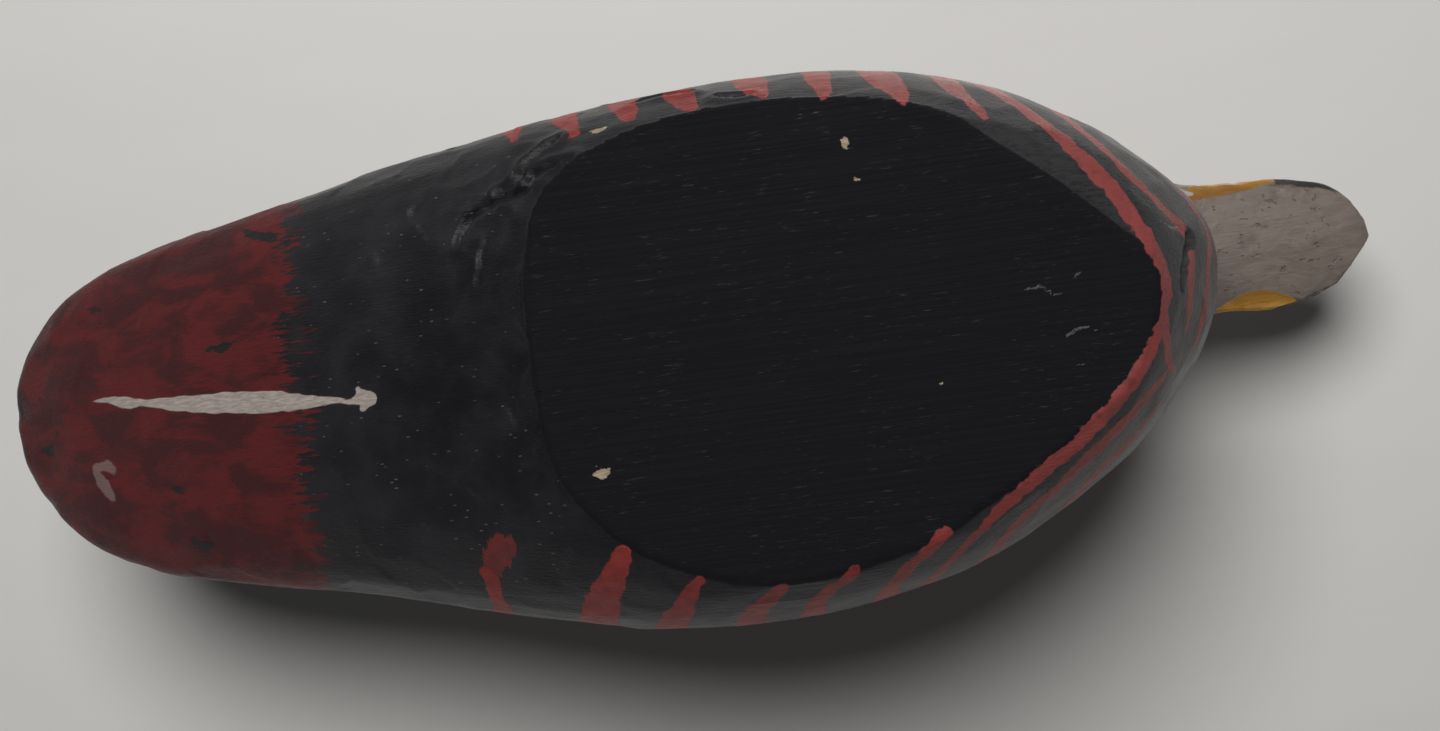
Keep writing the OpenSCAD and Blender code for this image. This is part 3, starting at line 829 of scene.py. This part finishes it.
def head_paint():
    m = Paint("head_paint")
    bristles = m.grain((6, 0.7, 0.9), 4, 0.6, 0.5)
    blotch = m.grain(8, 4, 0.6)
    mottle = m.grain((6, 3, 3), 4, 0.6, 1.2)
    crowded = m.step(m.grain(8, 2, 0.5), 0.42, 0.54)
    pits = m.both(m.step(m.grain((2.2, 1.4, 1.4), 2, 0.5), 0.62, 0.69), crowded)

    colour = m.mix(m.step(blotch, 0.35, 0.75), BLACK, (0.017, 0.017, 0.020))
    red_share = m.both(m.step(m.sum(m.field("cheek"), m.wander(bristles, 1.6)), -0.4, 0.7),
                       m.step(bristles, 0.28, 0.5, 0.55, 1.0))
    red_colour = m.mix(m.step(bristles, 0.35, 0.65), DARK_BRICK, BRICK)
    colour = m.mix(red_share, colour, red_colour)
    cream = m.step(m.sum(m.field("cream"), m.wander(m.grain((1.4, 1.4, 2.6), 3, 0.6), 0.5)), -0.12, 0.2)
    colour = m.mix(cream, colour, m.mix(m.step(mottle, 0.3, 0.7), (0.30, 0.24, 0.13), CREAM))
    bill = m.step(m.sum(m.field("bill"), m.wander(m.grain(1.8, 3, 0.6), 0.4)), -0.2, 0.3)
    bill_colour = m.mix(m.step(mottle, 0.36, 0.68), TAUPE, (0.205, 0.170, 0.150))
    bill_colour = m.mix(m.both(m.step(blotch, 0.55, 0.75), 0.6), bill_colour, DARK_TAUPE)
    dark = m.step(m.sum(m.field("dark"), m.wander(m.grain((4, 1.6, 1.6), 4, 0.6), 1.1)), -0.2, 0.5)
    bill_colour = m.mix(dark, bill_colour, (0.022, 0.019, 0.018))
    ochre = m.step(m.sum(m.field("ochre"), m.wander(m.grain((4, 1.2, 1.2), 3, 0.6), 0.45)), -0.12, 0.22)
    ochre_colour = m.mix(m.step(m.grain((5, 2.5, 2.5), 3, 0.6), 0.34, 0.66), (0.30, 0.145, 0.018), OCHRE)
    # painted shade: the ochre turns brown towards its lower edge, under the bill
    ochre_colour = m.mix(m.step(m.field("under"), 0.3, 2.4, 0.0, 0.8), ochre_colour, (0.17, 0.068, 0.014))
    bill_colour = m.mix(ochre, bill_colour, ochre_colour)
    pits = m.both(pits, m.step(ochre, 0, 1, 1.0, 0.0))
    bill_colour = m.mix(m.both(pits, 0.35), bill_colour, (0.05, 0.04, 0.035))
    colour = m.mix(bill, colour, bill_colour)
    white = m.step(m.sum(m.field("white"), m.wander(m.grain((2.2, 1, 1), 3, 0.6), 0.45)), -0.12, 0.2)
    colour = m.mix(white, colour, m.mix(m.step(bristles, 0.3, 0.7), (0.36, 0.32, 0.29), WHITE_PAINT))
    colour = m.mix(m.step(m.field("eye"), -1.3, -0.5), colour, (0.008, 0.007, 0.007))

    gloss = m.mix(bill, m.step(blotch, 0.3, 0.7, 0.28, 0.42), m.step(mottle, 0.3, 0.7, 0.42, 0.62))
    relief = m.bump(bristles, 0.14)
    relief = m.bump(m.both(mottle, bill), 0.22, relief)
    relief = m.bump(m.both(m.both(pits, bill), -1.0), 0.18, relief)
    relief = m.bump(m.maths("MAXIMUM", white, m.maths("MAXIMUM", cream, ochre)), 0.06, relief)
    return m.surface(colour, gloss, relief, Specular_IOR_Level=0.3)


def bare_beech():
    m = Paint("bare_beech")
    rays = m.grain((0.5, 0.5, 9), 4, 0.6)
    colour = m.mix(m.step(rays, 0.35, 0.7), (0.50, 0.33, 0.18), (0.62, 0.44, 0.26))
    colour = m.mix(m.step(m.grain((0.25, 0.25, 2.5), 2, 0.5), 0.66, 0.74), colour, (0.30, 0.17, 0.08))
    return m.surface(colour, m.step(rays, 0.3, 0.7, 0.55, 0.72), m.bump(rays, 0.1))


def glass_eye(node):
    """Brown glass: a black pupil, a streaked iris and a dark rim, under a clear glossy coat."""
    low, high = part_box(node)
    m = Paint("glass_" + node)
    middle = (low + high) / 2
    shift = m.node("ShaderNodeVectorMath", operation="SUBTRACT")
    m.put(shift.inputs[0], m.place)
    shift.inputs[1].default_value = (middle.x, 0, middle.z)
    apart = m.node("ShaderNodeSeparateXYZ")
    m.put(apart.inputs[0], shift.outputs[0])
    x, z = apart.outputs["X"], apart.outputs["Z"]
    away = m.maths("SQRT", m.sum(m.maths("POWER", x, 2.0), m.maths("POWER", z, 2.0)))
    turn = m.node("ShaderNodeCombineXYZ")
    m.put(turn.inputs[0], m.maths("ARCTAN2", z, x))
    m.put(turn.inputs[1], m.maths("MULTIPLY", away, 120.0))
    streak = m.node("ShaderNodeTexNoise")
    m.put(streak.inputs["Vector"], turn.outputs[0])
    streak.inputs["Scale"].default_value = 9.0
    iris = m.mix(m.step(streak.outputs["Fac"], 0.35, 0.68), (0.10, 0.022, 0.006), (0.34, 0.105, 0.018))
    iris = m.mix(m.step(away, 2.5 * MM, 3.6 * MM), iris, (0.03, 0.008, 0.004))
    colour = m.mix(m.step(away, 2.25 * MM, 2.05 * MM), iris, (0.002, 0.002, 0.002))
    gloss = m.step(m.grain(1.2, 2, 0.5), 0.3, 0.7, 0.05, 0.11)
    return m.surface(colour, gloss, m.bump(m.grain(3, 1, 0.5), 0.03), Specular_IOR_Level=0.1,
                     Coat_Weight=1.0, Coat_Roughness=0.03, Coat_IOR=1.5)


def paint_node(node, material):
    """A CAD node keeps its shape and gets this material."""
    made = frame["nodes"][node]
    made.data.materials.clear()
    made.data.materials.append(material)


# ---------------------------------------------------------------- stage, light and camera

# In metres, unlike the carving.
FLOOR_LEVEL = -0.0001       # just under the flat, so that the two aren't in one plane
CROWN_LEVEL = 0.1245        # just over the crown, which the duck lies on in the main view
FLOOR_PALE = (0.70, 0.695, 0.685)
BOARD_PALE = (0.80, 0.79, 0.775)
DUCK_MIDDLE = (0, 0, 0.05)  # where the lights aim


def one_sided(name, colour):
    """Pale matt paint that shows on a sheet's front and lets everything through from behind."""
    m = Paint(name)
    matt = m.node("ShaderNodeBsdfDiffuse")
    mottle = m.step(m.grain((160, 40, 40), 4, 0.6), 0.3, 0.7)
    m.put(matt.inputs["Color"], m.mix(mottle, colour, tuple(0.97 * c for c in colour)))
    clear = m.node("ShaderNodeBsdfTransparent")
    either = m.node("ShaderNodeMixShader")
    m.put(either.inputs[0], m.node("ShaderNodeNewGeometry").outputs["Backfacing"])
    m.tree.links.new(matt.outputs[0], either.inputs[1])
    m.tree.links.new(clear.outputs[0], either.inputs[2])
    out = m.node("ShaderNodeOutputMaterial")
    m.tree.links.new(either.outputs[0], out.inputs["Surface"])
    return m.material


def sheet(name, place, size, turn, colour):
    """A flat sheet that casts no shadow and isn't part of the duck."""
    half_x, half_y = size[0] / 2, size[1] / 2
    mesh = bpy.data.meshes.new(name)
    corners = [(-half_x, -half_y, 0), (half_x, -half_y, 0), (half_x, half_y, 0), (-half_x, half_y, 0)]
    mesh.from_pydata(corners, [], [(0, 1, 2, 3)])
    mesh.materials.append(one_sided(name, colour))
    made = bpy.data.objects.new(name, mesh)
    made.location = place
    made.rotation_euler = turn
    made.visible_shadow = False
    bpy.context.scene.collection.objects.link(made)
    return made


def soft_light(name, place, aim, size, power, colour=(1, 1, 1)):
    data = bpy.data.lights.new(name, "AREA")
    data.shape = "DISK"
    data.size = size
    data.energy = power
    data.color = colour
    lamp = bpy.data.objects.new(name, data)
    lamp.location = place
    lamp.rotation_euler = (Vector(aim) - Vector(place)).to_track_quat("-Z", "Y").to_euler()
    bpy.context.scene.collection.objects.link(lamp)
    return lamp


def build_stage():
    """A pale floor seen from above, and a pale board behind the duck seen from below."""
    floor = sheet("floor", (0, 0, FLOOR_LEVEL), (6, 6), (0, 0, 0), FLOOR_PALE)
    floor.visible_diffuse = False
    board = sheet("board", (0, 0, CROWN_LEVEL), (0.8, 0.6), (math.pi, 0, 0), BOARD_PALE)
    board.visible_diffuse = False

    # a sky that is dark below the horizon
    world = bpy.data.worlds.new("studio")
    bpy.context.scene.world = world
    world.use_nodes = True
    glow = world.node_tree.nodes["Background"]
    glow.inputs["Strength"].default_value = 1.0
    place = world.node_tree.nodes.new("ShaderNodeTexCoord")
    apart = world.node_tree.nodes.new("ShaderNodeSeparateXYZ")
    shade = world.node_tree.nodes.new("ShaderNodeMapRange")
    shade.inputs["From Min"].default_value = -0.12
    shade.inputs["From Max"].default_value = 0.02
    shade.inputs["To Min"].default_value = 0.03
    shade.inputs["To Max"].default_value = 0.52
    world.node_tree.links.new(place.outputs["Generated"], apart.inputs[0])
    world.node_tree.links.new(apart.outputs["Z"], shade.inputs["Value"])
    world.node_tree.links.new(shade.outputs["Result"], glow.inputs["Color"])
    soft_light("window_below", (0.0, -0.35, -0.69), DUCK_MIDDLE, 0.42, 6.0, (1.0, 0.99, 0.97))
    soft_light("key_above", (0.35, -0.75, 0.95), DUCK_MIDDLE, 0.7, 8.5, (1.0, 0.98, 0.95))
    fill = soft_light("fill_above", (-0.6, 0.8, 0.8), DUCK_MIDDLE, 0.8, 4.5, (0.95, 0.97, 1.0))
    fill.visible_glossy = False
    bpy.context.scene.view_settings.view_transform = "Standard"


def build_camera():
    """The photograph's view: from below the flat, leaning a little to the breast."""
    lean_forward, lean_right, roll = (math.radians(a) for a in (5.0, -2.5, 7.8))
    distance = 0.356
    aim = Vector((0.0082, 0, 0))
    back = Vector((math.sin(lean_forward), math.sin(lean_right), 0))
    back.z = -math.sqrt(1 - back.length_squared)
    level = (Vector((1, 0, 0)) - back * back.x).normalized()
    down = (-back).cross(level)
    right = level * math.cos(roll) + down * math.sin(roll)
    up = level * math.sin(roll) - down * math.cos(roll)
    data = bpy.data.cameras.new("camera")
    data.lens = 50
    data.sensor_width = 36
    data.clip_start = 0.01
    camera = bpy.data.objects.new("camera", data)
    turn = Matrix((right, up, back)).transposed().to_4x4()
    camera.matrix_world = Matrix.Translation(aim + back * distance) @ turn
    bpy.context.scene.collection.objects.link(camera)
    bpy.context.scene.camera = camera


build_stage()
build_camera()
carve_body().finish(body_paint(), "body", ["body"], "body_paint")
carve_head().finish(head_paint(), "head", ["head"], "head_paint")
paint_node("neck_peg", bare_beech())
for eye in ("eye_left", "eye_right"):
    paint_node(eye, glass_eye(eye))
